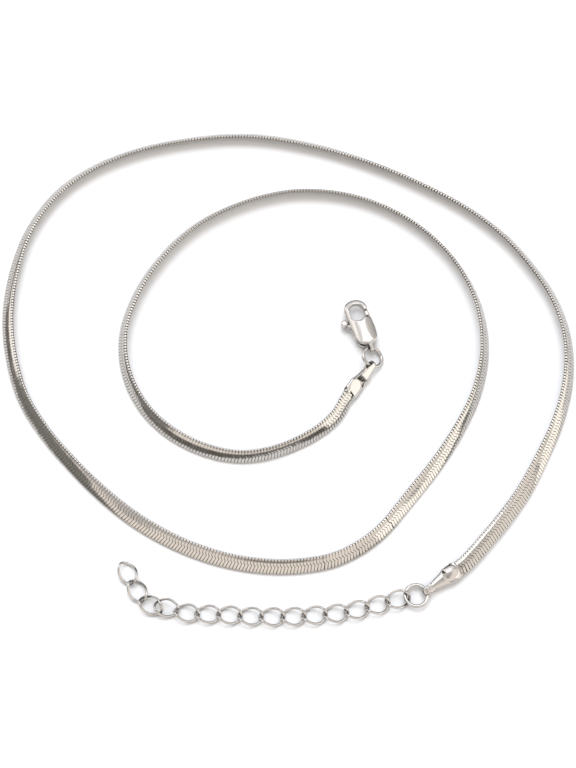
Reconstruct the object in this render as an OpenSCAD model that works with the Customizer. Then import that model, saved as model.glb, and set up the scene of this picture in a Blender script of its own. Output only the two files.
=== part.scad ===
// Flat snake chain necklace with a lobster clasp and an extender, laid out in a spiral.
// Millimetres, +Z up. The origin is on the table, under the middle of the laid-out necklace.

/* [Chain] */
// Width of the flat chain
chain_w = 2.6; // [2.4:0.1:2.7]
// Thickness of the flat chain
chain_t = 0.62; // [0.5:0.02:0.64]
// Number of sections along the chain
chain_sections = 150; // [100:10:180]

/* [End caps] */
// Thickness of the folded sheet
cap_sheet = 0.16; // [0.12:0.02:0.18]
// Gap between the chain and the folded sheet
cap_gap = 0.06; // [0.05:0.01:0.08]
// Inner radius of the curled eye
cap_eye_r = 0.58; // [0.56:0.01:0.6]
// Length from the middle of the eye to the mouth
cap_l = 6.4; // [6.2:0.1:6.6]
// Length of chain held in the mouth
cap_hold = 2.2; // [1.6:0.1:2.3]

/* [Jump rings] */
// Outer diameter of a jump ring
ring_d = 4.15; // [4.1:0.05:4.2]
// Wire of a jump ring
ring_wire = 0.6; // [0.5:0.05:0.65]

/* [Extender] */
// Length of an extender link
link_l = 4.36; // [4.3:0.02:4.4]
// Width of an extender link
link_w = 3.15; // [3.1:0.01:3.2]
// Wire of an extender link
link_wire = 0.42; // [0.36:0.02:0.46]
// Twist of each end of a link out of its own plane
link_twist = 45; // [43:1:47]

/* [Clasp] */
// Thickness of the clasp over its domed sides
clasp_t = 2.4; // [2.3:0.05:2.5]
// Height of the slot that the lever moves in
slot_h = 0.8; // [0.75:0.05:0.85]
// Thickness of the lever
lever_t = 0.6; // [0.5:0.05:0.65]
// Radius of the lever's pivot pin
pin_r = 0.35; // [0.3:0.01:0.4]
// Running clearance around the pivot pin
pin_gap = 0.05; // [0.03:0.01:0.08]

/* [Hidden] */
$fn = 64;

steel = [0.80, 0.79, 0.78];

// Columns of the route: place of the chain's middle line, tilt of its face from flat, and
// height of its lower edge above the table. The chain runs clockwise and faces outwards.
X = 0;
Y = 1;
TILT = 2;
LIFT = 3;
route = [
    [8.7, -9.5, 47, 0.12],
    [1.3, -15.1, 57, 0],
    [-7.3, -17.2, 57, 0],
    [-15.6, -15, 51, 0],
    [-22.9, -9.4, 51, 0],
    [-26.8, -2.2, 56, 0],
    [-27.7, 5.2, 58, 0],
    [-25.9, 12.4, 58, 0],
    [-22.4, 19, 57, 0],
    [-15.8, 26.4, 55, 0],
    [-8.7, 30.6, 56, 0],
    [1.6, 33.4, 58, 0],
    [12.2, 32.3, 60, 0],
    [21.8, 27.4, 65, 0],
    [29.3, 19.4, 66, 0],
    [33.2, 10, 63, 0],
    [33.6, 1.3, 58, 0],
    [31.8, -6, 54, 0],
    [28.6, -12.5, 46, 0],
    [24.8, -18.4, 38, 0],
    [20.5, -23.9, 33, 0],
    [18.4, -26.6, 37, 0],
    [16.3, -29.2, 39, 0],
    [13.8, -31.5, 38, 0],
    [8.2, -34.7, 36, 0],
    [1.9, -35.9, 32, 0],
    [-7.7, -35.3, 31, 0],
    [-16.9, -32.3, 27, 0],
    [-25.4, -27.3, 22, 0],
    [-30.6, -23, 29, 0],
    [-35.5, -18.1, 38, 0],
    [-40.1, -12.7, 41, 0],
    [-44, -6.5, 40, 0],
    [-46.4, 0.6, 39, 0],
    [-47.6, 8.2, 39, 0],
    [-47.3, 15.9, 42, 0],
    [-44.3, 27.1, 48, 0],
    [-40.1, 33.5, 47, 0],
    [-34.4, 38.2, 47, 0],
    [-27.9, 41.4, 49, 0],
    [-17.4, 44.1, 50, 0],
    [-6.6, 44.9, 49, 0],
    [4.1, 43.1, 49, 0],
    [14.4, 39.6, 54, 0],
    [24.2, 34.8, 57, 0],
    [33.3, 28.9, 56, 0],
    [38.6, 23.9, 55, 0],
    [42.9, 18, 55, 0],
    [46.3, 11.4, 55, 0],
    [47.9, 4, 54, 0],
    [47.4, -3.6, 47, 0],
    [45.3, -10.7, 41, 0],
    [42.2, -17.2, 32, 0.05],
    [38.7, -23.4, 17, 0.2],
    [34.5, -29, 11, 0.42],
    [32.2, -31.7, 10, 0.45],
    [30.1, -34.1, 10, 0.5]
];

// Columns of the cap places: middle of the eye, height, heading towards the chain and roll
cap_clasp_at = [14.36, -0.68, 1.24];
cap_clasp_heading = -124.5;
cap_clasp_roll = -45;
cap_extender_at = [22.34, -40.08, 1.02];
cap_extender_heading = 35.2;
cap_extender_roll = 190;

// Columns of the half outline of a cap's sheet: distance along, half width
cap_outline = [
    [-0.9, 0.36], [0, 0.44], [0.8, 0.58], [1.8, 0.8], [2.8, 0.96], [3.4, 1.1], [3.9, 1.36],
    [4.4, 1.52], [5.6, 1.52], [6.1, 1.3], [6.4, 1.0]
];
cap_half_t = chain_t / 2 + cap_gap + cap_sheet;
cap_half_w = chain_w / 2 + cap_gap + cap_sheet;
cap_eye_z = cap_eye_r + cap_sheet - cap_half_t;
cap_tongue_l = 2.9;
cap_front_x = 4.1;
cap_lead = 0.8;
cap_wall_x = 1.5;
cap_wall_z = 0.15;

// Columns of the extender: place, heading and roll of each link, from the free end
links = [
    [-25.25, -37.0, -62, -1],
    [-23.6, -39.95, -57, 0],
    [-21.35, -42.35, -30, 9],
    [-18.8, -42.8, -11, 19],
    [-15.65, -43.55, -10, 1],
    [-12.35, -43.75, -2, 0],
    [-8.95, -43.9, -4, 0],
    [-5.6, -44.1, -2, 0],
    [-2.2, -44.2, -1, 0],
    [1.15, -44.15, 2, 0],
    [4.5, -43.95, 4, 0],
    [7.9, -43.65, 5, 0],
    [11.2, -43.1, 13, 0],
    [14.5, -42.3, 14, 1],
    [17.75, -41.4, 15, 6]
];
HEADING = 2;
ROLL = 3;

// Roundness of a link's long sides
link_round = 0.85;

ring_r = (ring_d - ring_wire) / 2;
ring_clasp_at = [14.64, 0.83, 1.2];
ring_clasp_tilt = [-1.8, 27, 0];
ring_extender_at = [20.73, -40.74, 0.8];
ring_extender_tilt = [-3, -0.5, 0];
clasp_at = [14.45, 2.57, 0];
clasp_lean = 16.5;
mid_z = clasp_t / 2;
pivot = [0.95, 4.35];
hook_c = [-0.42, 7.44];
hook_r = 1.98;
hook_t = 1.56;
eye_run = 0.9;
eye_w = 2.55;
gate_reach = 2.46;
gate_gap = 0.14;
tail_w = 0.6;
tail_r = 0.95;
tail_hole_r = 0.62;
side = 20;

function unit(v) = v / norm(v);
function heading(a) = [cos(a), sin(a), 0];
function from(at, a, d) = at + d * heading(a);

// The route's rows with the two stretches that lie in the end caps
function cap_row(at, a, d, tilt, lift) = [from(at, a, d).x, from(at, a, d).y, tilt, lift];
function cap_lift(z, tilt) = z - (chain_w - chain_t) / 2 * sin(tilt) - chain_t / 2;
clasp_tilt = -cap_clasp_roll;
extender_tilt = cap_extender_roll - 180;
rows = concat(
    [for (d = [cap_l - cap_hold, cap_l, cap_l + cap_lead]) cap_row(cap_clasp_at, cap_clasp_heading, d,
        clasp_tilt, cap_lift(cap_clasp_at.z, clasp_tilt))],
    route,
    [for (d = [cap_l + cap_lead, cap_l, cap_l - cap_hold]) cap_row(cap_extender_at, cap_extender_heading, d,
        extender_tilt, cap_lift(cap_extender_at.z, extender_tilt))]
);
last = len(rows) - 1;
gaps = [for (i = [0:last - 1]) norm([rows[i + 1][X] - rows[i][X], rows[i + 1][Y] - rows[i][Y]])];

// Slope of every column at a row, per millimetre along the chain
function step(i) = (rows[i + 1] - rows[i]) / gaps[i];
function slope(i) = i == 0 ? step(0) : i == last ? step(last - 1)
    : (step(i - 1) * gaps[i] + step(i) * gaps[i - 1]) / (gaps[i - 1] + gaps[i]);

// A smooth row at parameter t between rows i and i + 1
function smooth(i, t) = rows[i] * (2 * t^3 - 3 * t^2 + 1)
    + slope(i) * gaps[i] * (t^3 - 2 * t^2 + t)
    + rows[i + 1] * (3 * t^2 - 2 * t^3)
    + slope(i + 1) * gaps[i] * (t^3 - t^2);
function at_u(u) = let(i = min(floor(u), last - 1)) smooth(i, u - i);

// Parameters spread over the rows so that the sections lie evenly along the chain
sums = [for (i = 0, s = 0; i <= last; s = s + (i < last ? gaps[i] : 0), i = i + 1) s];
function row_at(s, i = 0) = i >= last - 1 || sums[i + 1] > s ? i : row_at(s, i + 1);
function u_at(s) = let(i = row_at(s)) i + min((s - sums[i]) / gaps[i], 1);

// One section: points of the rounded band, put at its place, heading, tilt and height
section_pts = let(r = chain_t / 2, w = chain_w / 2 - chain_t / 2)
    [for (e = [1, -1], a = [-90:36:90]) [e * (w + r * cos(a)), e * r * sin(a)]];
function placed(row, dir) =
    let(left = [-dir.y, dir.x, 0], tilt = row[TILT],
        across = -left * cos(tilt) + [0, 0, sin(tilt)],
        up = left * sin(tilt) + [0, 0, cos(tilt)],
        z = (chain_w - chain_t) / 2 * sin(tilt) + chain_t / 2 + max(row[LIFT], 0))
    [for (p = section_pts) [row[X], row[Y], z] + across * p.x + up * p.y];

module snake_chain() {
    n = chain_sections;
    m = len(section_pts);
    us = [for (k = [0:n]) u_at(sums[last] * k / n)];
    pts = [for (u = us)
        let(a = at_u(max(u - 0.02, 0)), b = at_u(min(u + 0.02, last)))
        each placed(at_u(u), unit([b[X] - a[X], b[Y] - a[Y]]))];
    sides = [for (k = [0:n - 1], j = [0:m - 1])
        let(p = k * m + j, q = k * m + (j + 1) % m)
        each [[p, q, q + m], [p, q + m, p + m]]];
    ends = [[for (j = [m - 1:-1:0]) j], [for (j = [0:m - 1]) n * m + j]];
    color(steel) polyhedron(points = pts, faces = concat(sides, ends));
}

module cap_plan(inset = 0) {
    upper = [for (p = cap_outline) [p.x, p.y - inset]];
    lower = [for (i = [len(cap_outline) - 1:-1:0]) [cap_outline[i].x, inset - cap_outline[i].y]];
    polygon(concat(upper, lower));
}

module band_section(half_w, half_t) {
    square([2 * (half_w - half_t), 2 * half_t], center = true);
    for (e = [1, -1]) translate([e * (half_w - half_t), 0]) circle(half_t);
}

// Along +X from the eye to the mouth, with its folded front up
module end_cap() {
    // Tray: the smooth back with its low side walls
    difference() {
        intersection() {
            translate([0, 0, -cap_half_t]) linear_extrude(cap_half_t + cap_wall_z) cap_plan();
            translate([-2, 0, 0]) along_x(side) band_section(cap_half_w, cap_half_t);
        }
        translate([-0.01, 0, cap_sheet - cap_half_t]) linear_extrude(side) cap_plan(cap_sheet);
        translate([-side, -side / 2, -side / 2]) cube([side, side, side]);
        translate([0, -side / 2, cap_sheet - cap_half_t]) cube([cap_wall_x, side, side]);
        translate([cap_front_x, 0, 0]) along_x(side) band_section(cap_half_w - 0.05, cap_half_t - 0.05);
        translate([3.45, -1.0, -side / 2]) rotate([0, 0, 50]) relief_slot();
    }
    // Mouth: the sheet folded round the end of the chain
    intersection() {
        translate([cap_front_x, 0, 0]) along_x(cap_l - cap_front_x) difference() {
            band_section(cap_half_w, cap_half_t);
            band_section(cap_half_w - cap_sheet, cap_half_t - cap_sheet);
        }
        translate([0, 0, -side / 2]) linear_extrude(side) cap_plan();
    }
    // Upper flap of the fold, lapped over the lower one
    translate([0, 0, cap_half_t - 0.02]) linear_extrude(0.16)
        polygon([[cap_front_x, -1.0], [cap_front_x - 0.1, 0.0], [cap_front_x, 0.45],
                 [6.3, 0.8], [5.95, -0.85], [5.2, -1.1]]);
    // Curled eye and the tongue that comes back over the front
    intersection() {
        rotate([90, 0, 0]) translate([0, 0, -side / 2]) linear_extrude(side) eye_profile();
        translate([0, 0, -side / 2]) linear_extrude(side) cap_plan();
    }
}

module along_x(l) {
    rotate([90, 0, 90]) linear_extrude(l) children();
}

module relief_slot() {
    translate([-0.35, -0.08, 0]) cube([0.7, 0.16, side]);
}

module eye_profile() {
    outer = cap_eye_r + cap_sheet;
    translate([0, cap_eye_z]) difference() {
        circle(outer);
        circle(cap_eye_r);
        translate([0, -side / 2]) square([side, side]);
    }
    translate([0, cap_eye_z]) polygon([
        [-0.01, cap_eye_r], [-0.01, outer], [cap_tongue_l, outer - 0.2],
        [cap_tongue_l, outer - 0.2 - cap_sheet]
    ]);
    translate([-0.01, -cap_half_t]) square([1.5, cap_sheet]);
}

module placed_cap(at, a, roll) {
    color(steel) translate(at) rotate([roll, 0, a]) end_cap();
}

module end_cap_clasp() {
    placed_cap(cap_clasp_at, cap_clasp_heading, cap_clasp_roll);
}

module end_cap_extender() {
    placed_cap(cap_extender_at, cap_extender_heading, cap_extender_roll);
}

module jump_ring() {
    rotate_extrude($fn = 96) translate([ring_r, 0]) circle(ring_wire / 2, $fn = 32);
}

module jump_ring_clasp() {
    color(steel) translate(ring_clasp_at) rotate(ring_clasp_tilt) jump_ring();
}

module jump_ring_extender() {
    color(steel) translate(ring_extender_at) rotate(ring_extender_tilt) jump_ring();
}

module clasp_place() {
    translate(clasp_at) rotate([0, 0, clasp_lean]) children();
}

// Plan of the hook and its oval eye
module hook_plan() {
    difference() {
        union() {
            translate(hook_c) circle(hook_r, $fn = 96);
            polygon([hook_c, [-2.4, 7.4], [-2.42, 6.6], [-2.3, 5.4], [0, 5.4]]);
        }
        hook_eye();
        intersection() {
            translate(pivot) circle(gate_reach + gate_gap, $fn = 96);
            translate([0.6, 4]) square([3, 5]);
        }
    }
}

module hook_eye() {
    translate([-0.42, 6.81]) rotate([0, 0, -8]) {
        for (e = [1, -1]) translate([0, eye_run / 2 * e]) circle(eye_w / 2);
        square([eye_w, eye_run], center = true);
    }
}

module clasp_plan() {
    difference() {
        union() {
            translate([-0.18, 3.4]) circle(2.0);
            translate([-0.2, 2.45]) circle(1.96);
            polygon([[-2.35, 5.9], [-2.16, 3.1], [1.8, 3.1], [1.66, 5.3], [1.2, 5.5], [-0.2, 5.6]]);
        }
        hook_eye();
    }
}

module lying_cylinder(r, z, along) {
    translate([-0.2, 3.4, z]) rotate(along) cylinder(r = r, h = 4 * side, center = true, $fn = 128);
}

// Domed across and along, on both sides alike
module clasp_dome() {
    intersection() {
        lying_cylinder(3.2, clasp_t - 3.2, [90, 0, 0]);
        lying_cylinder(3.2, 3.2, [90, 0, 0]);
        lying_cylinder(20, clasp_t - 20, [0, 90, 0]);
        lying_cylinder(20, 20, [0, 90, 0]);
    }
}

module lever_slot() {
    translate([0, 0, mid_z - slot_h / 2]) linear_extrude(slot_h) {
        polygon([[-4, 5.35], [-4, 0.2], [-0.55, 0.2], [-0.3, 1.5], [0.1, 2.2], [0.1, 3.4],
                 [0.95, 3.4], [2.6, 3.4], [2.6, 6], [0.4, 6], [-0.9, 5.35]]);
    }
}

module clasp_body() {
    color(steel) clasp_place() {
        difference() {
            intersection() {
                union() {
                    linear_extrude(clasp_t) clasp_plan();
                    translate([0, 0, mid_z - hook_t / 2]) linear_extrude(hook_t) hook_plan();
                    tail();
                }
                clasp_dome();
            }
            lever_slot();
            tail_hole();
        }
        translate([pivot.x, pivot.y, mid_z - slot_h]) cylinder(r = pin_r, h = 2 * slot_h);
    }
}

module tail() {
    translate([-tail_w / 2, 0, mid_z]) rotate([0, 90, 0]) cylinder(r = tail_r, h = tail_w);
    translate([-tail_w / 2, 0, mid_z - tail_r]) cube([tail_w, 1.5, 2 * tail_r]);
}

module tail_hole() {
    translate([-side / 2, 0, mid_z]) rotate([0, 90, 0]) cylinder(r = tail_hole_r, h = side);
}

module lever_plan() {
    translate(pivot) circle(0.72);
    // Gate arm
    polygon([[0.72, 4.6], [0.9, 6.2], [0.9, 6.78], [1.2, 6.78], [1.46, 6.7], [1.66, 5.6], [1.66, 4.6]]);
    // Thumb arm, bent towards its tab
    polygon([[0.9, 3.75], [-2.2, 4.4], [-2.75, 5.0], [-3.05, 5.6], [-2.2, 5.12], [0.9, 4.95]]);
}

module clasp_lever() {
    color(steel) clasp_place() {
        difference() {
            translate([0, 0, mid_z - lever_t / 2]) linear_extrude(lever_t) lever_plan();
            translate([pivot.x, pivot.y, 0]) cylinder(r = pin_r + pin_gap, h = clasp_t);
        }
        // Thick end of the gate
        translate([0, 0, mid_z - 0.65]) linear_extrude(1.3)
            polygon([[0.88, 5.8], [0.9, 6.78], [1.2, 6.78], [1.46, 6.7], [1.62, 5.8]]);
        // Thumb tab
        translate([-3.08, 5.45, mid_z]) intersection() {
            cylinder(r = 0.6, h = 1.4, center = true);
            sphere(0.82);
        }
    }
}

// Middle line of a link: an oval twisted about its long axis
function link_point(a, roll) =
    let(x = (link_l - link_wire) / 2 * cos(a),
        y = (link_w - link_wire) / 2 * sign(sin(a)) * pow(abs(sin(a)), link_round),
        turn = link_twist * cos(a) + roll)
    [x, y * cos(turn), y * sin(turn)];

module extender_link(row) {
    n = 26;
    m = 6;
    roll = row[ROLL];
    mid = [for (k = [0:n - 1]) link_point(360 * k / n, roll)];
    low = min([for (p = mid) p.z]) - link_wire / 2;
    pts = [for (k = [0:n - 1])
        let(t = unit(mid[(k + 1) % n] - mid[(k + n - 1) % n]), out = unit(mid[k]),
            e = unit(out - t * (out * t)), f = cross(t, e))
        for (j = [0:m - 1]) mid[k] + link_wire / 2 * (e * cos(360 * j / m) + f * sin(360 * j / m))];
    faces = [for (k = [0:n - 1], j = [0:m - 1])
        let(k2 = (k + 1) % n, j2 = (j + 1) % m)
        each [[k * m + j, k2 * m + j, k2 * m + j2], [k * m + j, k2 * m + j2, k * m + j2]]];
    color(steel) translate([row[X], row[Y], -low]) rotate([0, 0, row[HEADING]])
        polyhedron(points = pts, faces = faces);
}

snake_chain();
end_cap_clasp();
end_cap_extender();
jump_ring_clasp();
jump_ring_extender();
clasp_body();
clasp_lever();
for (i = [1:15]) {
    name = str("extender_link_", i < 10 ? "0" : "", i);
    extender_link(links[i - 1]);
}
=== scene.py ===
import math

import bmesh
import bpy
import numpy as np
from mathutils import Matrix, Vector


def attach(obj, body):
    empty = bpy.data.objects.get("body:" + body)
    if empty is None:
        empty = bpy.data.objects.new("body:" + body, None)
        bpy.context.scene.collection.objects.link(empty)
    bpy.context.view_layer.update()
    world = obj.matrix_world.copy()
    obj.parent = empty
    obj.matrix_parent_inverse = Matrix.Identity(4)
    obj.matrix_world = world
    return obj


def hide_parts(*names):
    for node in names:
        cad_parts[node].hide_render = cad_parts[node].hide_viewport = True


# Flat snake chain necklace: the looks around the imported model.
# Sizes are in millimetres and angles in degrees, until a mesh, light or camera is made from them.
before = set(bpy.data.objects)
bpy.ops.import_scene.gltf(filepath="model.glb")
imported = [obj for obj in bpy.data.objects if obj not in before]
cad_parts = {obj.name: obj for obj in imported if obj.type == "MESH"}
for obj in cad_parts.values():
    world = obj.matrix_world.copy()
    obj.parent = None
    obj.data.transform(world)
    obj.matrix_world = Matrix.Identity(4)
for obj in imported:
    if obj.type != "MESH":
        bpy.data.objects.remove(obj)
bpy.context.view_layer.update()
scene = bpy.context.scene
mm = 0.001
rng = np.random.default_rng(11)
print("frame loaded:", len(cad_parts), "nodes")


def linear(hexColour, strength=1.0):
    channels = [int(hexColour[i:i + 2], 16) / 255 for i in (0, 2, 4)]
    light = [c / 12.92 if c <= 0.04045 else ((c + 0.055) / 1.055) ** 2.4 for c in channels]
    return (*[c * strength for c in light], 1.0)


def addNode(tree, kind, settings=None, links=None):
    node = tree.nodes.new(kind)
    for name, value in (settings or {}).items():
        if isinstance(name, int) or name in node.inputs:
            node.inputs[name].default_value = value
        else:
            setattr(node, name, value)
    for name, source in (links or {}).items():
        tree.links.new(source, node.inputs[name])
    return node


# Camera at the photo's angle, 66 degrees above the table
cameraSettings = {
    "elevation": 66.0, "distance": 270.0, "aim": (0.35, -3.6, 0.0), "lens": 75.0, "nearest": 10.0}
aim = Vector(cameraSettings["aim"]) * mm
rise = math.radians(cameraSettings["elevation"])
towardCamera = Vector((0, -math.cos(rise), math.sin(rise)))
cameraData = bpy.data.cameras.new("camera")
cameraData.lens = cameraSettings["lens"]
cameraData.clip_start = cameraSettings["nearest"] * mm
camera = bpy.data.objects.new("camera", cameraData)
camera.location = aim + towardCamera * cameraSettings["distance"] * mm
camera.rotation_mode = "QUATERNION"
camera.rotation_quaternion = (-towardCamera).to_track_quat("-Z", "Y")
scene.collection.objects.link(camera)
scene.camera = camera
scene.view_settings.view_transform = "Standard"
print("camera placed")

# Studio: a table covered with white paper, and one large softbox above and behind it
studio = {
    "paper": {"size": 1600.0, "colours": ("E3E4E6", "E1E2E4"), "fibre": 4.55, "fibreDetail": 3.0,
              "roughness": 0.9, "specular": 0.2},
    "softbox": {"at": (-70.0, 420.0, 560.0), "size": 760.0, "watts": 3.75, "colour": "F2F8FF"},
}
# Room: the metal mirrors all of it, so it holds what a small studio has round the table
room = {
    "walls": ("F3F0ED", 0.95),  # colour and strength, as in the rows below
    "skirting": {"top": 0.1, "fade": 0.08, "light": ("7C7770", 0.95)},
    "behind": 0.001,  # smallest forward part of a direction, so that no panel shows behind the eye
    # direction, half width and half height (as slopes), softness of the edge, colour, strength
    "panels": [
        ((0.0, 0.97, 0.24), 1.0, 0.24, 0.05, "4A4744", 0.8),        # dark back wall
        ((-0.10, 0.60, 0.80), 0.50, 0.44, 0.14, "F6F6FA", 1.5),     # the softbox, as the metal sees it
        ((-0.03, 0.38, 0.92), 0.18, 0.19, 0.05, "FAFCFF", 4.2),     # bright strip lamp under it
        ((0.0, -0.72, 0.70), 1.4, 0.52, 0.06, "F4EDE6", 1.55),      # warm front wall
        ((0.60, 0.06, 0.80), 0.34, 0.30, 0.05, "FBF5EE", 1.45),     # reflector high on the right
        ((0.93, -0.10, 0.26), 0.52, 0.26, 0.04, "FFFCF5", 2.0),     # window on the right
        ((-0.75, 0.42, 0.52), 0.42, 0.32, 0.05, "FFFDFA", 1.9),     # reflector on the left
        ((-0.93, -0.22, 0.28), 0.40, 0.36, 0.04, "A8A6A2", 0.9),    # dim doorway on the left
        ((0.12, -0.06, 0.99), 0.20, 0.20, 0.08, "D8D6D0", 1.0),     # plain ceiling
        ((0.0, -0.41, 0.91), 0.20, 0.14, 0.16, "989490", 0.9),      # the camera itself
    ],
}


def paperTable(settings):
    half = settings["size"] / 2 * mm
    corners = [(-half, -half, 0), (half, -half, 0), (half, half, 0), (-half, half, 0)]
    mesh = bpy.data.meshes.new("paper_table")
    mesh.from_pydata(corners, [], [(0, 1, 2, 3)])
    table = bpy.data.objects.new("paper_table", mesh)
    scene.collection.objects.link(table)
    paper = bpy.data.materials.new("matt white paper")
    paper.use_nodes = True
    tree = paper.node_tree
    shader = tree.nodes["Principled BSDF"]
    shader.inputs["Roughness"].default_value = settings["roughness"]
    shader.inputs["Specular IOR Level"].default_value = settings["specular"]
    place = addNode(tree, "ShaderNodeTexCoord")
    fibre = addNode(tree, "ShaderNodeTexNoise", {
        "Scale": 1 / (settings["fibre"] * mm), "Detail": settings["fibreDetail"]},
        {"Vector": place.outputs["Object"]})
    first, second = settings["colours"]
    tint = addNode(tree, "ShaderNodeMix", {"data_type": "RGBA", 6: linear(first), 7: linear(second)},
                   {0: fibre.outputs["Fac"]})
    tree.links.new(tint.outputs[2], shader.inputs["Base Color"])
    mesh.materials.append(paper)


def panelSide(tree, look, ahead, axis, half, soft):
    # 1 within the panel and 0 past its edge, measured along one of its sides
    along = addNode(tree, "ShaderNodeVectorMath", {"operation": "DOT_PRODUCT", 1: axis}, {0: look})
    slope = addNode(tree, "ShaderNodeMath", {"operation": "DIVIDE"}, {0: along.outputs["Value"], 1: ahead})
    away = addNode(tree, "ShaderNodeMath", {"operation": "ABSOLUTE"}, {0: slope.outputs[0]})
    edge = {"interpolation_type": "SMOOTHSTEP", "From Min": half + soft, "From Max": half - soft}
    return addNode(tree, "ShaderNodeMapRange", edge, {"Value": away.outputs[0]}).outputs["Result"]


def roomWorld(settings):
    world = bpy.data.worlds.new("studio room")
    world.use_nodes = True
    tree = world.node_tree
    tree.nodes.clear()
    look = addNode(tree, "ShaderNodeTexCoord").outputs["Generated"]
    walls = addNode(tree, "ShaderNodeRGB")
    walls.outputs[0].default_value = linear(*settings["walls"])

    skirting = settings["skirting"]
    height = addNode(tree, "ShaderNodeVectorMath", {"operation": "DOT_PRODUCT", 1: (0, 0, 1)}, {0: look})
    low = addNode(tree, "ShaderNodeMapRange", {
        "interpolation_type": "SMOOTHSTEP", "From Min": skirting["top"] + skirting["fade"],
        "From Max": skirting["top"]}, {"Value": height.outputs["Value"]})
    current = addNode(tree, "ShaderNodeMix", {"data_type": "RGBA", 7: linear(*skirting["light"])},
                      {0: low.outputs["Result"], 6: walls.outputs[0]})

    for towards, halfWidth, halfHeight, soft, colour, strength in settings["panels"]:
        middle = Vector(towards).normalized()
        side = Vector((0, 0, 1)).cross(middle).normalized()
        facing = addNode(tree, "ShaderNodeVectorMath", {"operation": "DOT_PRODUCT", 1: middle}, {0: look})
        ahead = addNode(tree, "ShaderNodeMath", {"operation": "MAXIMUM", 1: settings["behind"]},
                        {0: facing.outputs["Value"]})
        mask = addNode(tree, "ShaderNodeMath", {"operation": "MULTIPLY"}, {
            0: panelSide(tree, look, ahead.outputs[0], side, halfWidth, soft),
            1: panelSide(tree, look, ahead.outputs[0], middle.cross(side), halfHeight, soft)})
        current = addNode(tree, "ShaderNodeMix", {"data_type": "RGBA", 7: linear(colour, strength)},
                          {0: mask.outputs[0], 6: current.outputs[2]})
    glow = addNode(tree, "ShaderNodeBackground", None, {"Color": current.outputs[2]})
    addNode(tree, "ShaderNodeOutputWorld", None, {"Surface": glow.outputs["Background"]})
    scene.world = world


def softbox(settings):
    data = bpy.data.lights.new("overhead softbox", "AREA")
    data.shape = "SQUARE"
    data.size = settings["size"] * mm
    data.energy = settings["watts"]
    data.color = linear(settings["colour"])[:3]
    light = bpy.data.objects.new("overhead_softbox", data)
    light.location = Vector(settings["at"]) * mm
    light.rotation_mode = "QUATERNION"
    light.rotation_quaternion = (-light.location).to_track_quat("-Z", "Y")
    light.visible_glossy = False  # the room has its mirror image, with soft edges
    scene.collection.objects.link(light)


paperTable(studio["paper"])
roomWorld(room)
softbox(studio["softbox"])
print("studio lit")

# Plated brass: polished brass under a thin, hard rhodium skin, which gives it a cool silvery mirror.
# Its polish has a faint cloudy haze and fine wipe marks, and shade is painted into its colour where pieces
# meet or lie close to the paper.
# Real wipe marks are finer: they are drawn as coarse as they need to show from close by.
plating = {
    "cloudDetail": 4.0, "cloudSpan": (0.3, 0.7),  # the part of the noise's range that the haze uses
    "wipeDetail": 2.0, "wipeDepth": 0.02, "cornerRays": 8,
}


def platedBrass(name, settings):
    material = bpy.data.materials.new(name)
    material.use_nodes = True
    tree = material.node_tree
    shader = tree.nodes["Principled BSDF"]
    shader.inputs["Metallic"].default_value = 1.0
    place = addNode(tree, "ShaderNodeTexCoord")
    cloud = addNode(tree, "ShaderNodeTexNoise", {
        "Scale": 1 / (settings["cloud"] * mm), "Detail": plating["cloudDetail"]},
        {"Vector": place.outputs["Object"]})
    wipes = addNode(tree, "ShaderNodeTexNoise", {
        "Scale": 1 / (settings["wipes"] * mm), "Detail": plating["wipeDetail"]},
        {"Vector": place.outputs["Object"]})
    tone = addNode(tree, "ShaderNodeMix", {
        "data_type": "RGBA", 6: linear(settings["colour"]), 7: linear(settings["haze"])},
        {0: cloud.outputs["Fac"]})
    rough = addNode(tree, "ShaderNodeMapRange", {
        "From Min": plating["cloudSpan"][0], "From Max": plating["cloudSpan"][1],
        "To Min": settings["roughness"][0], "To Max": settings["roughness"][1]},
        {"Value": cloud.outputs["Fac"]})
    bump = addNode(tree, "ShaderNodeBump", {
        "Strength": settings["bump"], "Distance": plating["wipeDepth"] * mm},
        {"Height": wipes.outputs["Fac"]})
    # painted shade: the AO node darkens the base colour in corners, where pieces meet and next to the paper,
    # standing in for contact shade
    if "painted_shade" in settings:
        corner = settings["corner"]
        shelter = addNode(tree, "ShaderNodeAmbientOcclusion", {
            "Distance": corner["reach"] * mm, "samples": plating["cornerRays"]})
        unshaded = addNode(tree, "ShaderNodeMapRange", {
            "From Min": corner["dark"], "From Max": corner["unshaded"]}, {"Value": shelter.outputs["AO"]})
        tone = addNode(tree, "ShaderNodeMix", {"data_type": "RGBA", 6: linear(settings["painted_shade"])},
                       {0: unshaded.outputs["Result"], 7: tone.outputs[2]})
    tree.links.new(tone.outputs[2], shader.inputs["Base Color"])
    tree.links.new(rough.outputs["Result"], shader.inputs["Roughness"])
    tree.links.new(bump.outputs["Normal"], shader.inputs["Normal"])
    return material
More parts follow.
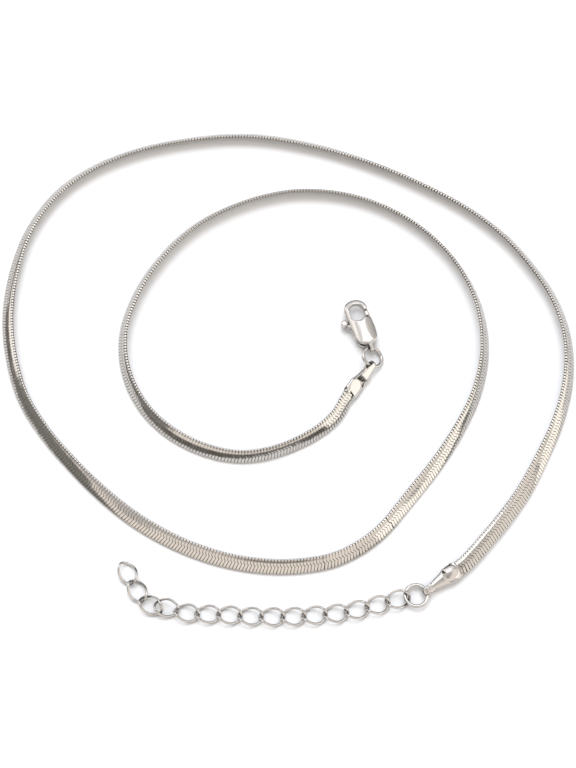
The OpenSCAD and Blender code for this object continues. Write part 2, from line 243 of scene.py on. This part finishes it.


# cloud and wipes are the sizes of the haze's clouds and of the wipe marks. A corner gets painted shade,
# starting where less than its unshaded share of the space within reach is open, and darkest at "dark".
metals = {
    # flat links, tumbled bright: each is a small clear mirror
    "links": platedBrass("rhodium-plated brass, polished links", {
        "colour": "C3BFBA", "haze": "B8B4AF", "roughness": (0.08, 0.16), "cloud": 3.85, "wipes": 0.111,
        "bump": 0.15}),
    # inside of the weave: a near-black core, painted shade that makes the gaps between the links look dark
    "weave": platedBrass("weave core, painted shade between the links", {
        "colour": "292622", "haze": "211E1B", "roughness": (0.45, 0.6), "cloud": 2.5, "wipes": 0.167,
        "bump": 0.3}),
    # pressed and folded sheet: a soft mirror with a faint warm cast, and painted shade in its corners
    "sheet": platedBrass("rhodium-plated brass sheet, polished", {
        "colour": "C6C2BF", "haze": "BAB6B2", "roughness": (0.12, 0.2), "cloud": 3.33, "wipes": 0.2,
        "bump": 0.12, "painted_shade": "2E2A27", "corner": {"reach": 0.8, "dark": 0.25, "unshaded": 0.7}}),
    # drawn wire: a clear mirror, with a thin highlight along it, and painted shade where it lies close to
    # the paper or its neighbours
    "wire": platedBrass("rhodium-plated brass wire, polished", {
        "colour": "C2C0BD", "haze": "B5B2AF", "roughness": (0.08, 0.16), "cloud": 2.0, "wipes": 0.143,
        "bump": 0.1, "painted_shade": "2E2A27", "corner": {"reach": 1.0, "dark": 0.4, "unshaded": 0.85}}),
    # casting: a hazier mirror, so its highlights are soft and wide, and painted shade in its corners
    "casting": platedBrass("rhodium-plated cast brass, polished", {
        "colour": "C8C4C1", "haze": "BDB9B5", "roughness": (0.2, 0.27), "cloud": 4.17, "wipes": 0.25,
        "bump": 0.1, "painted_shade": "2E2A27", "corner": {"reach": 0.8, "dark": 0.25, "unshaded": 0.7}}),
}


def meshPiece(name, points, faces, metal, node, body="necklace", sharp=None, outwards=False):
    mesh = bpy.data.meshes.new(name)
    mesh.from_pydata((np.asarray(points, float) * mm).tolist(), [], faces)
    if outwards:
        shell = bmesh.new()
        shell.from_mesh(mesh)
        bmesh.ops.recalc_face_normals(shell, faces=shell.faces)
        shell.to_mesh(mesh)
        shell.free()
    mesh.polygons.foreach_set("use_smooth", [True] * len(mesh.polygons))
    if sharp is not None:
        ends = np.zeros(len(mesh.edges) * 2, int)
        mesh.edges.foreach_get("vertices", ends)
        marks = mesh.attributes.new("sharp_edge", "BOOLEAN", "EDGE")
        marks.data.foreach_set("value", sharp(ends.reshape(-1, 2)))
    mesh.materials.append(metals[metal])
    piece = bpy.data.objects.new(name, mesh)
    scene.collection.objects.link(piece)
    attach(piece, body)
    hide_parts(node)


# The chain's route, as in the model. Columns: place of its middle line, tilt from flat and
# height of the lower edge. It runs clockwise from the clasp, and its face looks outwards.
route = [
    (8.7, -9.5, 47, 0.12), (1.3, -15.1, 57, 0), (-7.3, -17.2, 57, 0), (-15.6, -15, 51, 0),
    (-22.9, -9.4, 51, 0), (-26.8, -2.2, 56, 0), (-27.7, 5.2, 58, 0), (-25.9, 12.4, 58, 0),
    (-22.4, 19, 57, 0), (-15.8, 26.4, 55, 0), (-8.7, 30.6, 56, 0), (1.6, 33.4, 58, 0),
    (12.2, 32.3, 60, 0), (21.8, 27.4, 65, 0), (29.3, 19.4, 66, 0), (33.2, 10, 63, 0),
    (33.6, 1.3, 58, 0), (31.8, -6, 54, 0), (28.6, -12.5, 46, 0), (24.8, -18.4, 38, 0),
    (20.5, -23.9, 33, 0), (18.4, -26.6, 37, 0), (16.3, -29.2, 39, 0), (13.8, -31.5, 38, 0),
    (8.2, -34.7, 36, 0), (1.9, -35.9, 32, 0), (-7.7, -35.3, 31, 0), (-16.9, -32.3, 27, 0),
    (-25.4, -27.3, 22, 0), (-30.6, -23, 29, 0), (-35.5, -18.1, 38, 0), (-40.1, -12.7, 41, 0),
    (-44, -6.5, 40, 0), (-46.4, 0.6, 39, 0), (-47.6, 8.2, 39, 0), (-47.3, 15.9, 42, 0),
    (-44.3, 27.1, 48, 0), (-40.1, 33.5, 47, 0), (-34.4, 38.2, 47, 0), (-27.9, 41.4, 49, 0),
    (-17.4, 44.1, 50, 0), (-6.6, 44.9, 49, 0), (4.1, 43.1, 49, 0), (14.4, 39.6, 54, 0),
    (24.2, 34.8, 57, 0), (33.3, 28.9, 56, 0), (38.6, 23.9, 55, 0), (42.9, 18, 55, 0),
    (46.3, 11.4, 55, 0), (47.9, 4, 54, 0), (47.4, -3.6, 47, 0), (45.3, -10.7, 41, 0),
    (42.2, -17.2, 32, 0.05), (38.7, -23.4, 17, 0.2), (34.5, -29, 11, 0.42), (32.2, -31.7, 10, 0.45),
    (30.1, -34.1, 10, 0.5),
]
# Each end cap: middle of its eye, heading towards the chain, roll, and the chain's tilt in it
caps = {
    "clasp": {"at": (14.36, -0.68, 1.24), "heading": -124.5, "roll": -45.0, "tilt": 45.0},
    "extender": {"at": (22.34, -40.08, 1.02), "heading": 35.2, "roll": 190.0, "tilt": 10.0},
    # from the eye to the mouth, length of chain held inside, and length that leaves the mouth straight
    "mouth": 6.4, "hold": 2.2, "lead": 0.8,
}
chain = {
    "width": 2.6, "thickness": 0.62, "pitch": 0.534,
    "routeSteps": 16000,
    # half length of a link along the chain: place across it, half length
    "halves": [(-1.3, 0.165), (-1.0, 0.23), (-0.2, 0.239), (-0.02, 0.208), (0.24, 0.208), (0.4, 0.247),
               (0.9, 0.247), (1.04, 0.212), (1.3, 0.168)],
    # how a link leans along the chain: place across it, lean. The jog lies between the two middle rows
    "lean": [(-1.3, 0.26), (-0.02, -0.13), (0.24, 0.13), (1.3, -0.02)],
    "crown": 0.018,  # how far the middle of the face stands above its sides
    "crownFlat": (0.18, 0.14),  # how far the crown runs before and after the jog
    "roundSteps": 3, "roundTurn": 84.0,  # each quarter of a rounded end
    # the line between the face and the bead on its raised end: where it is deepest and where it ends,
    # measured from the bead's middle, and how far the face rises there
    "groove": {"depth": 0.03, "at": 0.03, "to": 0.1, "rise": 0.004},
    # chamfer round the link's edge, in the middle and at the beads, and where it starts to grow
    "chamfer": {"middle": 0.008, "end": 0.035, "from": 0.85, "steep": 1.5},
    # bends where the links stand apart: distance along the chain, opening
    "cracks": [(188.7, 0.09), (195.2, 0.05), (201.5, 0.05)],
    "crackReach": 1.2,
    "wobble": 0.6, "wobbleRoll": 0.6,  # degrees that single links sit off true, and the share of it in roll
    "weave": {"width": 2.42, "thickness": 0.42, "turns": (-60, 0, 60), "spacing": 0.8, "short": 0.05},
}


def capRow(cap, distance):
    # a row of the route inside a cap or just outside it
    x, y, z = cap["at"]
    angle, tilt = math.radians(cap["heading"]), math.radians(cap["tilt"])
    lift = z - (chain["width"] - chain["thickness"]) / 2 * math.sin(tilt) - chain["thickness"] / 2
    return x + distance * math.cos(angle), y + distance * math.sin(angle), cap["tilt"], lift


def trackRoute(settings):
    # one smooth line through the caps and all places of the route, with its tilt and heading
    stops = [caps["mouth"] - caps["hold"], caps["mouth"], caps["mouth"] + caps["lead"]]
    first = [capRow(caps["clasp"], distance) for distance in stops]
    last = [capRow(caps["extender"], distance) for distance in reversed(stops)]
    rows = np.array(first + route + last, float)
    gaps = np.hypot(*np.diff(rows[:, :2], axis=0).T)[:, None]
    steps = np.diff(rows, axis=0) / gaps
    inner = (steps[:-1] * gaps[1:] + steps[1:] * gaps[:-1]) / (gaps[:-1] + gaps[1:])
    slopes = np.vstack([steps[:1], inner, steps[-1:]])
    u = np.linspace(0, len(rows) - 1, settings["routeSteps"])
    i = np.minimum(u.astype(int), len(rows) - 2)
    t = (u - i)[:, None]
    smooth = (rows[i] * (2 * t**3 - 3 * t**2 + 1) + slopes[i] * gaps[i] * (t**3 - 2 * t**2 + t)
              + rows[i + 1] * (3 * t**2 - 2 * t**3) + slopes[i + 1] * gaps[i] * (t**3 - t**2))
    tilt = np.radians(smooth[:, 2])
    thickness = settings["thickness"]
    z = (settings["width"] - thickness) / 2 * np.sin(tilt) + thickness / 2 + np.maximum(smooth[:, 3], 0)
    middle = np.c_[smooth[:, :2], z]
    travel = np.gradient(smooth[:, :2], axis=0)
    along = np.r_[0, np.cumsum(np.linalg.norm(np.diff(middle, axis=0), axis=1))]
    return {"middle": middle, "tilt": tilt, "along": along,
            "heading": np.unwrap(np.arctan2(travel[:, 1], travel[:, 0]))}


def framesAt(track, s):
    # the chain's middle at distance s, and its directions there: ahead, across the face, and up from it
    def pick(values):
        return np.interp(s, track["along"], values)

    heading, tilt = pick(track["heading"]), pick(track["tilt"])[:, None]
    middle = np.stack([pick(track["middle"][:, k]) for k in range(3)], -1)
    flat = np.zeros_like(heading)
    ahead = np.stack([np.cos(heading), np.sin(heading), flat], -1)
    left = np.stack([-np.sin(heading), np.cos(heading), flat], -1)
    upright = np.array([0, 0, 1.0])
    across = -left * np.cos(tilt) + upright * np.sin(tilt)
    up = left * np.sin(tilt) + upright * np.cos(tilt)
    return middle, ahead, across, up


def linkOutline(settings):
    # a link seen along the chain: a rounded bead on either end, a groove beside one, and a crowned face
    half, side = settings["thickness"] / 2, settings["thickness"] / 2 - settings["crown"]
    reach = settings["width"] / 2 - side
    turn = np.radians(np.linspace(0, settings["roundTurn"], settings["roundSteps"] + 1))
    bead = np.c_[reach + side * np.cos(turn), side * np.sin(turn)]
    groove = settings["groove"]
    jogStart, jogEnd = (place for place, lean in settings["lean"][1:-1])
    before, after = settings["crownFlat"]
    face = [[reach - groove["at"], side - groove["depth"]], [reach - groove["to"], side + groove["rise"]],
            [jogEnd + after, half], [jogEnd, half], [jogStart, half], [jogStart - before, half]]
    top = np.vstack([bead, face, (bead * (-1, 1))[::-1]])
    return np.vstack([top, (top * (1, -1))[-2:0:-1]])


def chainLinks(settings, track):
    outline = linkOutline(settings)
    n = len(outline)
    a, b = outline.T
    halfWidth, halfThickness = settings["width"] / 2, settings["thickness"] / 2
    edge = settings["chamfer"]
    endness = np.clip((np.abs(a) - edge["from"]) / (halfWidth - edge["from"]), 0, 1) ** edge["steep"]
    chamfer = edge["middle"] + (edge["end"] - edge["middle"]) * endness
    half = np.interp(a, *np.array(settings["halves"]).T)
    lean = np.interp(a, *np.array(settings["lean"]).T)
    inset = np.c_[a * (1 - chamfer / halfWidth), b * (1 - chamfer / halfThickness)]
    slices = [(lean - half, inset), (lean - half + chamfer, outline),
              (lean + half - chamfer, outline), (lean + half, inset)]
    s = np.concatenate([place for place, shape in slices])
    local = np.vstack([shape for place, shape in slices])

    length = track["along"][-1]
    count = round(length / settings["pitch"])
    centres = (np.arange(count) + 0.5) * length / count
    for place, opening in settings["cracks"]:
        away = centres - place
        centres = centres + np.sign(away) * opening / 2 * np.exp(-np.abs(away) / settings["crackReach"])
    middle, ahead, across, up = framesAt(track, centres)
    nod, roll = np.radians(rng.normal(0, settings["wobble"], (2, count, 1)))
    roll = roll * settings["wobbleRoll"]
    linkAhead, linkAcross, linkUp = ahead + up * nod, across + up * roll, up - ahead * nod - across * roll
    points = (middle[:, None] + linkAhead[:, None] * s[None, :, None]
              + linkAcross[:, None] * local[None, :, :1] + linkUp[:, None] * local[None, :, 1:])

    upper = list(range(n // 2 + 1))
    lower = [-k % n for k in upper]
    faces = []
    for ring in range(len(slices) - 1):
        for i in range(n):
            j = (i + 1) % n
            faces.append([ring * n + i, (ring + 1) * n + i, (ring + 1) * n + j, ring * n + j])
    for k in range(n // 2):
        face = list(dict.fromkeys([upper[k], upper[k + 1], lower[k + 1], lower[k]]))
        faces.append(face[::-1])
        faces.append([(len(slices) - 1) * n + i for i in face])
    allFaces = [[i + k * len(slices) * n for i in face] for k in range(count) for face in faces]

    def rims(ends):
        ring = ends // n % len(slices)
        return ring[:, 0] == ring[:, 1]

    meshPiece("chain_links", points.reshape(-1, 3), allFaces, "links", "snake_chain", sharp=rims)
    print("chain links:", count, "faces:", len(allFaces))


# the core inside the links, in the near-black weave material: painted shade showing through the gaps between
# them
def chainWeave(settings, track):
    weave = settings["weave"]
    radius = weave["thickness"] / 2
    reach = weave["width"] / 2 - radius
    turn = np.radians(weave["turns"])
    section = np.vstack([np.c_[reach + radius * np.cos(turn), radius * np.sin(turn)],
                         np.c_[-reach - radius * np.cos(turn), radius * np.sin(turn)][::-1]])
    n = len(section)
    length = track["along"][-1]
    count = round(length / weave["spacing"])
    middle, ahead, across, up = framesAt(track, np.linspace(weave["short"], length - weave["short"], count))
    points = middle[:, None] + across[:, None] * section[None, :, :1] + up[:, None] * section[None, :, 1:]
    faces = [[k * n + i, (k + 1) * n + i, (k + 1) * n + (i + 1) % n, k * n + (i + 1) % n]
             for k in range(count - 1) for i in range(n)]
    faces += [list(range(n)), [(count - 1) * n + i for i in reversed(range(n))]]
    meshPiece("chain_shade_core", points.reshape(-1, 3), faces, "weave", "snake_chain")


track = trackRoute(chain)
chainLinks(chain, track)
chainWeave(chain, track)

rings = {
    "outer": 4.15, "wire": 0.6, "around": 80, "sides": 18,
    "clasp": {"at": (14.64, 0.83, 1.2), "tilt": (-1.8, 27.0, 0.0)},
    "extender": {"at": (20.73, -40.74, 0.8), "tilt": (-3.0, -0.5, 0.0)},
}
extender = {
    "length": 4.36, "width": 3.15, "wire": 0.42, "twist": 45.0, "roundness": 0.85,
    "around": 56, "sides": 12,
    # place, heading and roll of each link, from the free end
    "links": [
        (-25.25, -37.0, -62, -1), (-23.6, -39.95, -57, 0), (-21.35, -42.35, -30, 9),
        (-18.8, -42.8, -11, 19), (-15.65, -43.55, -10, 1), (-12.35, -43.75, -2, 0),
        (-8.95, -43.9, -4, 0), (-5.6, -44.1, -2, 0), (-2.2, -44.2, -1, 0), (1.15, -44.15, 2, 0),
        (4.5, -43.95, 4, 0), (7.9, -43.65, 5, 0), (11.2, -43.1, 13, 0), (14.5, -42.3, 14, 1),
        (17.75, -41.4, 15, 6),
    ],
}


def turned(points, x=0.0, y=0.0, z=0.0):
    for angle, (i, j) in zip((x, y, z), ((1, 2), (2, 0), (0, 1))):
        c, s = math.cos(math.radians(angle)), math.sin(math.radians(angle))
        points = np.array(points, float)
        points[:, i], points[:, j] = points[:, i] * c - points[:, j] * s, points[:, i] * s + points[:, j] * c
    return points


def closedTube(line, radius, sides):
    tangent = np.roll(line, -1, 0) - np.roll(line, 1, 0)
    tangent /= np.linalg.norm(tangent, axis=1)[:, None]
    out = line - line.mean(0)
    out -= tangent * (out * tangent).sum(1)[:, None]
    out /= np.linalg.norm(out, axis=1)[:, None]
    third = np.cross(tangent, out)
    turn = np.linspace(0, 2 * math.pi, sides, endpoint=False)[:, None]
    points = line[:, None] + radius * (out[:, None] * np.cos(turn) + third[:, None] * np.sin(turn))
    n = len(line)
    faces = []
    for k in range(n):
        here, following = k * sides, (k + 1) % n * sides
        for i in range(sides):
            j = (i + 1) % sides
            faces.append([here + i, following + i, following + j, here + j])
    return points.reshape(-1, 3), faces


def jumpRing(end, settings):
    turn = np.linspace(0, 2 * math.pi, settings["around"], endpoint=False)
    radius = (settings["outer"] - settings["wire"]) / 2
    line = np.c_[radius * np.cos(turn), radius * np.sin(turn), 0 * turn]
    points, faces = closedTube(line, settings["wire"] / 2, settings["sides"])
    points = turned(points, *settings[end]["tilt"]) + settings[end]["at"]
    meshPiece(f"jump_ring_{end}_wire", points, faces, "wire", f"jump_ring_{end}")


def extenderLink(number, settings, row):
    # an oval of wire, twisted so that it lies flat beside its neighbours
    x, y, heading, roll = row
    turn = np.linspace(0, 2 * math.pi, settings["around"], endpoint=False)
    long = (settings["length"] - settings["wire"]) / 2 * np.cos(turn)
    swing = np.sign(np.sin(turn)) * np.abs(np.sin(turn)) ** settings["roundness"]
    wide = (settings["width"] - settings["wire"]) / 2 * swing
    lean = np.radians(settings["twist"] * np.cos(turn) + roll)
    line = np.c_[long, wide * np.cos(lean), wide * np.sin(lean)]
    line = (line + np.roll(line, 1, 0) * 0.5 + np.roll(line, -1, 0) * 0.5) / 2
    points, faces = closedTube(line, settings["wire"] / 2, settings["sides"])
    points[:, 2] -= points[:, 2].min()
    points = turned(points, z=heading) + (x, y, 0)
    meshPiece(f"link_wire_{number:02d}", points, faces, "wire", f"extender_link_{number:02d}")


jumpRing("clasp", rings)
jumpRing("extender", rings)
for number, row in enumerate(extender["links"], 1):
    extenderLink(number, extender, row)
print("rings and extender links made")

# The end caps: sheet curled to an eye, drawn into a tray, and folded round the end of the chain.
# Lengths run from the eye to the mouth, and turns go round the cap from the middle of its back.
capSheet = {
    "sheet": 0.15, "eye": 0.58, "back": 0.53, "front": 0.53,
    "tongue": {"end": 2.9, "drop": 0.2, "normal": (0.07, 1.0)},
    # tongue and curl: turn along the strip (0 at the tongue's end, 1 at the top of the eye, 2 at its foot,
    # 3 where the tray starts), reach to either side
    "strip": [(0.0, 0.77, 0.93), (0.27, 0.73, 0.77), (0.57, 0.68, 0.58), (0.75, 0.62, 0.47),
              (1.0, 0.42, 0.38), (1.5, 0.42, 0.42), (2.0, 0.56, 0.56), (2.4, 0.67, 0.67),
              (2.75, 0.66, 0.66), (3.0, 0.64, 0.64)],
    # how far the strip's sides lie below its middle, on the tongue, the curl and the foot, and at its edges
    "crown": {"tongue": 0.01, "curl": 0.02, "foot": 0.05, "edge": 0.05},
    "trayStart": 1.0, "trayFull": 1.7, "wall": 112.0,
    # distance from the eye, half width, depth of the back, squareness
    "tube": [(1.0, 0.64, 0.53, 2.6), (1.8, 0.84, 0.53, 2.4), (2.8, 1.03, 0.53, 2.3), (3.4, 1.16, 0.54, 2.3),
             (3.9, 1.38, 0.55, 2.3), (4.4, 1.50, 0.56, 2.3), (5.6, 1.52, 0.55, 2.3), (6.4, 1.52, 0.53, 2.4)],
    "dome": {"at": (4.85, -0.1), "radius": 1.42, "height": 0.3, "steep": 0.75},  # pressed out of the back
    "ball": {"at": 0.36, "length": 0.27, "height": 0.16},  # small swelling at the foot of the eye
    # relief slit beside the dome: where it runs, the turns at its two ends, and half its width as a turn
    "slit": {"from": 3.1, "to": 4.1, "out": -76.0, "in": -36.0, "half": 20.0},
    "flare": {"length": 0.5, "height": 0.09},
    "fold": {"from": 4.1, "to": 5.6, "in": 165.0},
    # outline of the mouth: distance before its end, half width
    "mouth": [(0.8, 1.52), (0.55, 1.46), (0.3, 1.3), (0.12, 1.14), (0.0, 0.9)],
    "length": {"clasp": 6.7, "extender": 6.45},
    # steps of the mesh, round the cap and along it
    "around": {"back": 11, "side": 21, "front": 12},
    "rows": {"tongue": 12, "curl": 20, "tray": 30, "slit": 34, "fold": 19, "mouth": 15},
    "least": 1e-12,  # keeps a direction defined where points of the grid fall on each other
    # upper flap of the fold: its outline, its height, and how it leans down to one side
    "flap": [(4.35, -1.38), (3.98, -1.08), (3.84, -0.5), (3.95, 0.0), (4.2, 0.45), (4.7, 0.6),
             (6.34, 0.66), (6.12, -0.86), (5.75, -1.15), (5.3, -1.34)],
    "flapTop": 0.66, "flapLean": {"from": -0.66, "over": 2.04, "drop": 0.2},
    # the flap's rounded upper edge: share of its outline, height above its top
    "flapEdge": [(1.0, -0.15), (1.0, -0.025), (0.985, 0.0), (0.96, 0.001), (0.6, 0.01), (0.0, 0.015)],
}


def thickened(points, inward, faces, sheet):
    n = len(points)
    ends = np.array([(face[k], face[(k + 1) % len(face)]) for face in faces for k in range(len(face))])
    _, where, uses = np.unique(np.sort(ends, axis=1), axis=0, return_index=True, return_counts=True)
    rims = [[int(b), int(a), int(a) + n, int(b) + n] for a, b in ends[where[uses == 1]]]
    inside = [[i + n for i in face[::-1]] for face in faces]
    return np.vstack([points, points + inward * sheet]), faces + inside + rims


def capTurns(settings):
    # turns at which each row of the sheet has a point, and the first one on the fold
    bend, steps = -settings["slit"]["in"], settings["around"]
    back = np.linspace(0, bend, steps["back"])
    side = np.linspace(bend, settings["wall"], steps["side"])[1:]
    front = np.linspace(settings["wall"], settings["fold"]["in"], steps["front"])[1:]
    right = np.r_[back, side, front]
    return np.r_[-right[::-1], right[1:]], front[0]


def stripRow(settings, across, turn, middle, normal, crown, swell=0.0):
    left, right = (np.interp(turn, *np.array(settings["strip"])[:, [0, k]].T) for k in (1, 2))
    y = np.where(across < 0, left, right) * across
    depth = crown * across**2 + settings["crown"]["edge"] * across**6 - swell * (1 - across**2)
    return np.stack([middle[0] - normal[0] * depth, y, middle[1] - normal[1] * depth], -1)


def tubeRow(settings, turns, x, length):
    wall, fold, dome, flare = (settings[k] for k in ("wall", "fold", "dome", "flare"))
    tube = np.array(settings["tube"])
    width, deep, square = (np.interp(x, tube[:, 0], tube[:, k]) for k in (1, 2, 3))
    angle = turns
    if x > fold["to"]:
        # past the fold the sheet ends at the mouth's outline, so its turns are squeezed into that
        before, halfWidth = np.array(settings["mouth"]).T
        mouth = np.interp(x, length - before, halfWidth)
        limit = math.degrees(math.asin(min((mouth / width) ** (square / 2), 1)))
        onFold = np.interp(np.abs(turns), [wall, fold["in"]], [180 - limit, fold["in"]])
        angle = np.where(np.abs(turns) <= wall, turns / wall * limit, np.sign(turns) * onFold)
    a = np.radians(angle)
    atBack = np.cos(a) > 0
    y = width * np.sign(np.sin(a)) * np.abs(np.sin(a)) ** (2 / square)
    z = np.where(atBack, -deep, settings["front"]) * np.abs(np.cos(a)) ** (2 / square)
    away = ((x - dome["at"][0])**2 + (y - dome["at"][1])**2) / dome["radius"]**2
    z -= np.where(atBack, dome["height"] * np.clip(1 - away, 0, 1) ** dome["steep"], 0)
    lift = np.clip((x - length + flare["length"]) / flare["length"], 0, 1)
    z -= np.where(atBack, flare["height"] * lift**2, 0)
    return np.stack([np.full_like(y, x), y, z], -1)


def capRows(settings, turns, length):
    # the sheet's points, row by row, and each row's distance from the eye. The strip has none, and gets -1
    tongue, crown, ball, steps = (settings[k] for k in ("tongue", "crown", "ball", "rows"))
    across = np.clip(turns / settings["wall"], -1, 1)
    radius = settings["eye"] + settings["sheet"]
    eyeZ = radius - settings["back"]
    grid = []
    for t in np.linspace(0, 1, steps["tongue"]):
        middle = (tongue["end"] * (1 - t), eyeZ + radius - tongue["drop"] * (1 - t))
        grid.append(stripRow(settings, across, t, middle, tongue["normal"], crown["tongue"]))
    for t in np.linspace(0, 1, steps["curl"])[1:-1]:
        a = math.radians(90 + 180 * t)
        middle = (radius * math.cos(a), eyeZ + radius * math.sin(a))
        grid.append(stripRow(settings, across, 1 + t, middle, (math.cos(a), math.sin(a)), crown["curl"]))
    along = [-1.0] * len(grid)

    slit, fold = settings["slit"], settings["fold"]
    spans = [(0, slit["from"], "tray"), (slit["from"], slit["to"], "slit"),
             (fold["from"], fold["to"], "fold"), (fold["to"], length, "mouth")]
    stops = np.concatenate([np.linspace(start, end, steps[part]) for start, end, part in spans])
    for x in np.unique(np.round(stops, 4)):
        swell = ball["height"] * math.exp(-((x - ball["at"]) / ball["length"])**2)
        turn = 2 + min(x / settings["trayStart"], 1)
        flat = stripRow(settings, across, turn, (x, -settings["back"]), (0.0, -1.0), crown["foot"], swell)
        t = np.clip((x - settings["trayStart"]) / (settings["trayFull"] - settings["trayStart"]), 0, 1)
        t = t * t * (3 - 2 * t)
        grid.append(flat * (1 - t) + tubeRow(settings, turns, x, length) * t)
        along.append(x)
    return np.array(grid), np.array(along)


def capGrid(settings, length):
    wall, fold, slit = settings["wall"], settings["fold"], settings["slit"]
    turns, firstFront = capTurns(settings)
    grid, along = capRows(settings, turns, length)
    inward = np.cross(np.gradient(grid, axis=0), np.gradient(grid, axis=1))
    inward /= np.linalg.norm(inward, axis=2)[..., None] + settings["least"]
    rows, columns = grid.shape[:2]
    faces = []
    for i in range(rows - 1):
        x = (along[i] + along[i + 1]) / 2
        for j in range(columns - 1):
            turn = (turns[j] + turns[j + 1]) / 2
            t = (x - slit["from"]) / (slit["to"] - slit["from"])
            slitTurn = slit["out"] + (slit["in"] - slit["out"]) * t
            beforeFold = abs(turn) > wall and x <= fold["from"]
            inMouth = x > fold["to"] and wall < abs(turn) < firstFront
            inSlit = 0 <= t <= 1 and abs(turn - slitTurn) < slit["half"] * (0.5 + t / 2)
            if not (beforeFold or inMouth or inSlit):
                here, following = i * columns + j, (i + 1) * columns + j
                faces.append([here, here + 1, following + 1, following])
    return grid.reshape(-1, 3), inward.reshape(-1, 3), faces


def flapPlate(settings):
    corners = np.array(settings["flap"])
    pairs = zip(corners, np.roll(corners, -1, 0))
    outline = np.array([here * (1 - t) + there * t for here, there in pairs for t in (0, 1 / 3, 2 / 3)])
    centre = outline.mean(0)
    top, sheet = settings["flapTop"], settings["sheet"]
    *levels, crown = settings["flapEdge"]
    n, last = len(outline), (len(levels) - 1) * len(outline)
    points = [np.c_[centre + (outline - centre) * share, np.full(n, top + rise)] for share, rise in levels]
    points = np.vstack(points + [[[*centre, top + crown[1]], [*centre, top - sheet]]])
    lean = settings["flapLean"]
    points[:, 2] -= lean["drop"] * (-points[:, 1] - lean["from"]) / lean["over"]
    faces = []
    for i in range(n):
        j = (i + 1) % n
        faces += [[k * n + i, k * n + j, (k + 1) * n + j, (k + 1) * n + i] for k in range(len(levels) - 1)]
        faces += [[last + i, last + j, last + n], [j, i, last + n + 1]]
    return points, faces


def endCap(end, settings):
    points, inward, faces = capGrid(settings, settings["length"][end])
    used = sorted({i for face in faces for i in face})
    index = {old: new for new, old in enumerate(used)}
    faces = [[index[i] for i in face] for face in faces]
    n = len(used)
    points, faces = thickened(points[used], inward[used], faces, settings["sheet"])
    place = caps[end]

    def seat(local):
        return turned(local, x=place["roll"], z=place["heading"]) + place["at"]

    def cutEdge(ends):
        return (ends[:, 0] < n) != (ends[:, 1] < n)

    node = f"end_cap_{end}"
    meshPiece(f"{node}_sheet", seat(points), faces, "sheet", node, sharp=cutEdge, outwards=True)
    points, faces = flapPlate(settings)
    meshPiece(f"{node}_flap", seat(points), faces, "sheet", node, outwards=True)


endCap("clasp", capSheet)
endCap("extender", capSheet)
print("end caps made")

# The clasp is cast and tumbled, so its edges are soft: the model's own solids, remeshed finely and
# smoothed, first all over and then in height alone, which melts the steps of its layers into a dome
castings = {"voxel": 0.05, "rounding": 12, "settling": 90, "strength": 0.5}


def castPiece(node, body, settings):
    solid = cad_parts[node]
    blankMesh = solid.data.copy()
    blankMesh.transform(solid.matrix_world)
    blankMesh.transform(Matrix.Scale(1 / mm, 4))
    heights = [vertex.co.z for vertex in blankMesh.vertices]
    blank = bpy.data.objects.new(f"{node}_blank", blankMesh)
    scene.collection.objects.link(blank)
    grid = blank.modifiers.new("grid", "REMESH")
    grid.mode = "VOXEL"
    grid.voxel_size = settings["voxel"]
    for stage in ("rounding", "settling"):
        smoothing = blank.modifiers.new(stage, "SMOOTH")
        smoothing.factor = settings["strength"]
        smoothing.iterations = settings[stage]
        smoothing.use_x = smoothing.use_y = stage == "rounding"
    soft = bpy.data.meshes.new_from_object(blank.evaluated_get(bpy.context.evaluated_depsgraph_get()))
    points = np.array([vertex.co for vertex in soft.vertices])
    faces = [list(face.vertices) for face in soft.polygons]
    bpy.data.objects.remove(blank)
    bpy.data.meshes.remove(blankMesh)
    bpy.data.meshes.remove(soft)

    # smoothing takes a little off the top and the foot, so the height is stretched back
    low, high = points[:, 2].min(), points[:, 2].max()
    points[:, 2] = np.interp(points[:, 2], [low, high], [min(heights), max(heights)])
    meshPiece(f"{node}_cast", points, faces, "casting", node, body)
    print(node, "cast:", len(faces), "faces")


castPiece("clasp_body", "necklace", castings)
castPiece("clasp_lever", "lever", castings)

# The solids under the pieces get the same finishes. The extender's links are all wire
nodeMetals = {
    "snake_chain": "links", "end_cap_clasp": "sheet", "end_cap_extender": "sheet",
    "clasp_body": "casting", "clasp_lever": "casting",
}
for name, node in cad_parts.items():
    for place in node.material_slots:
        place.material = metals[nodeMetals.get(name, "wire")]
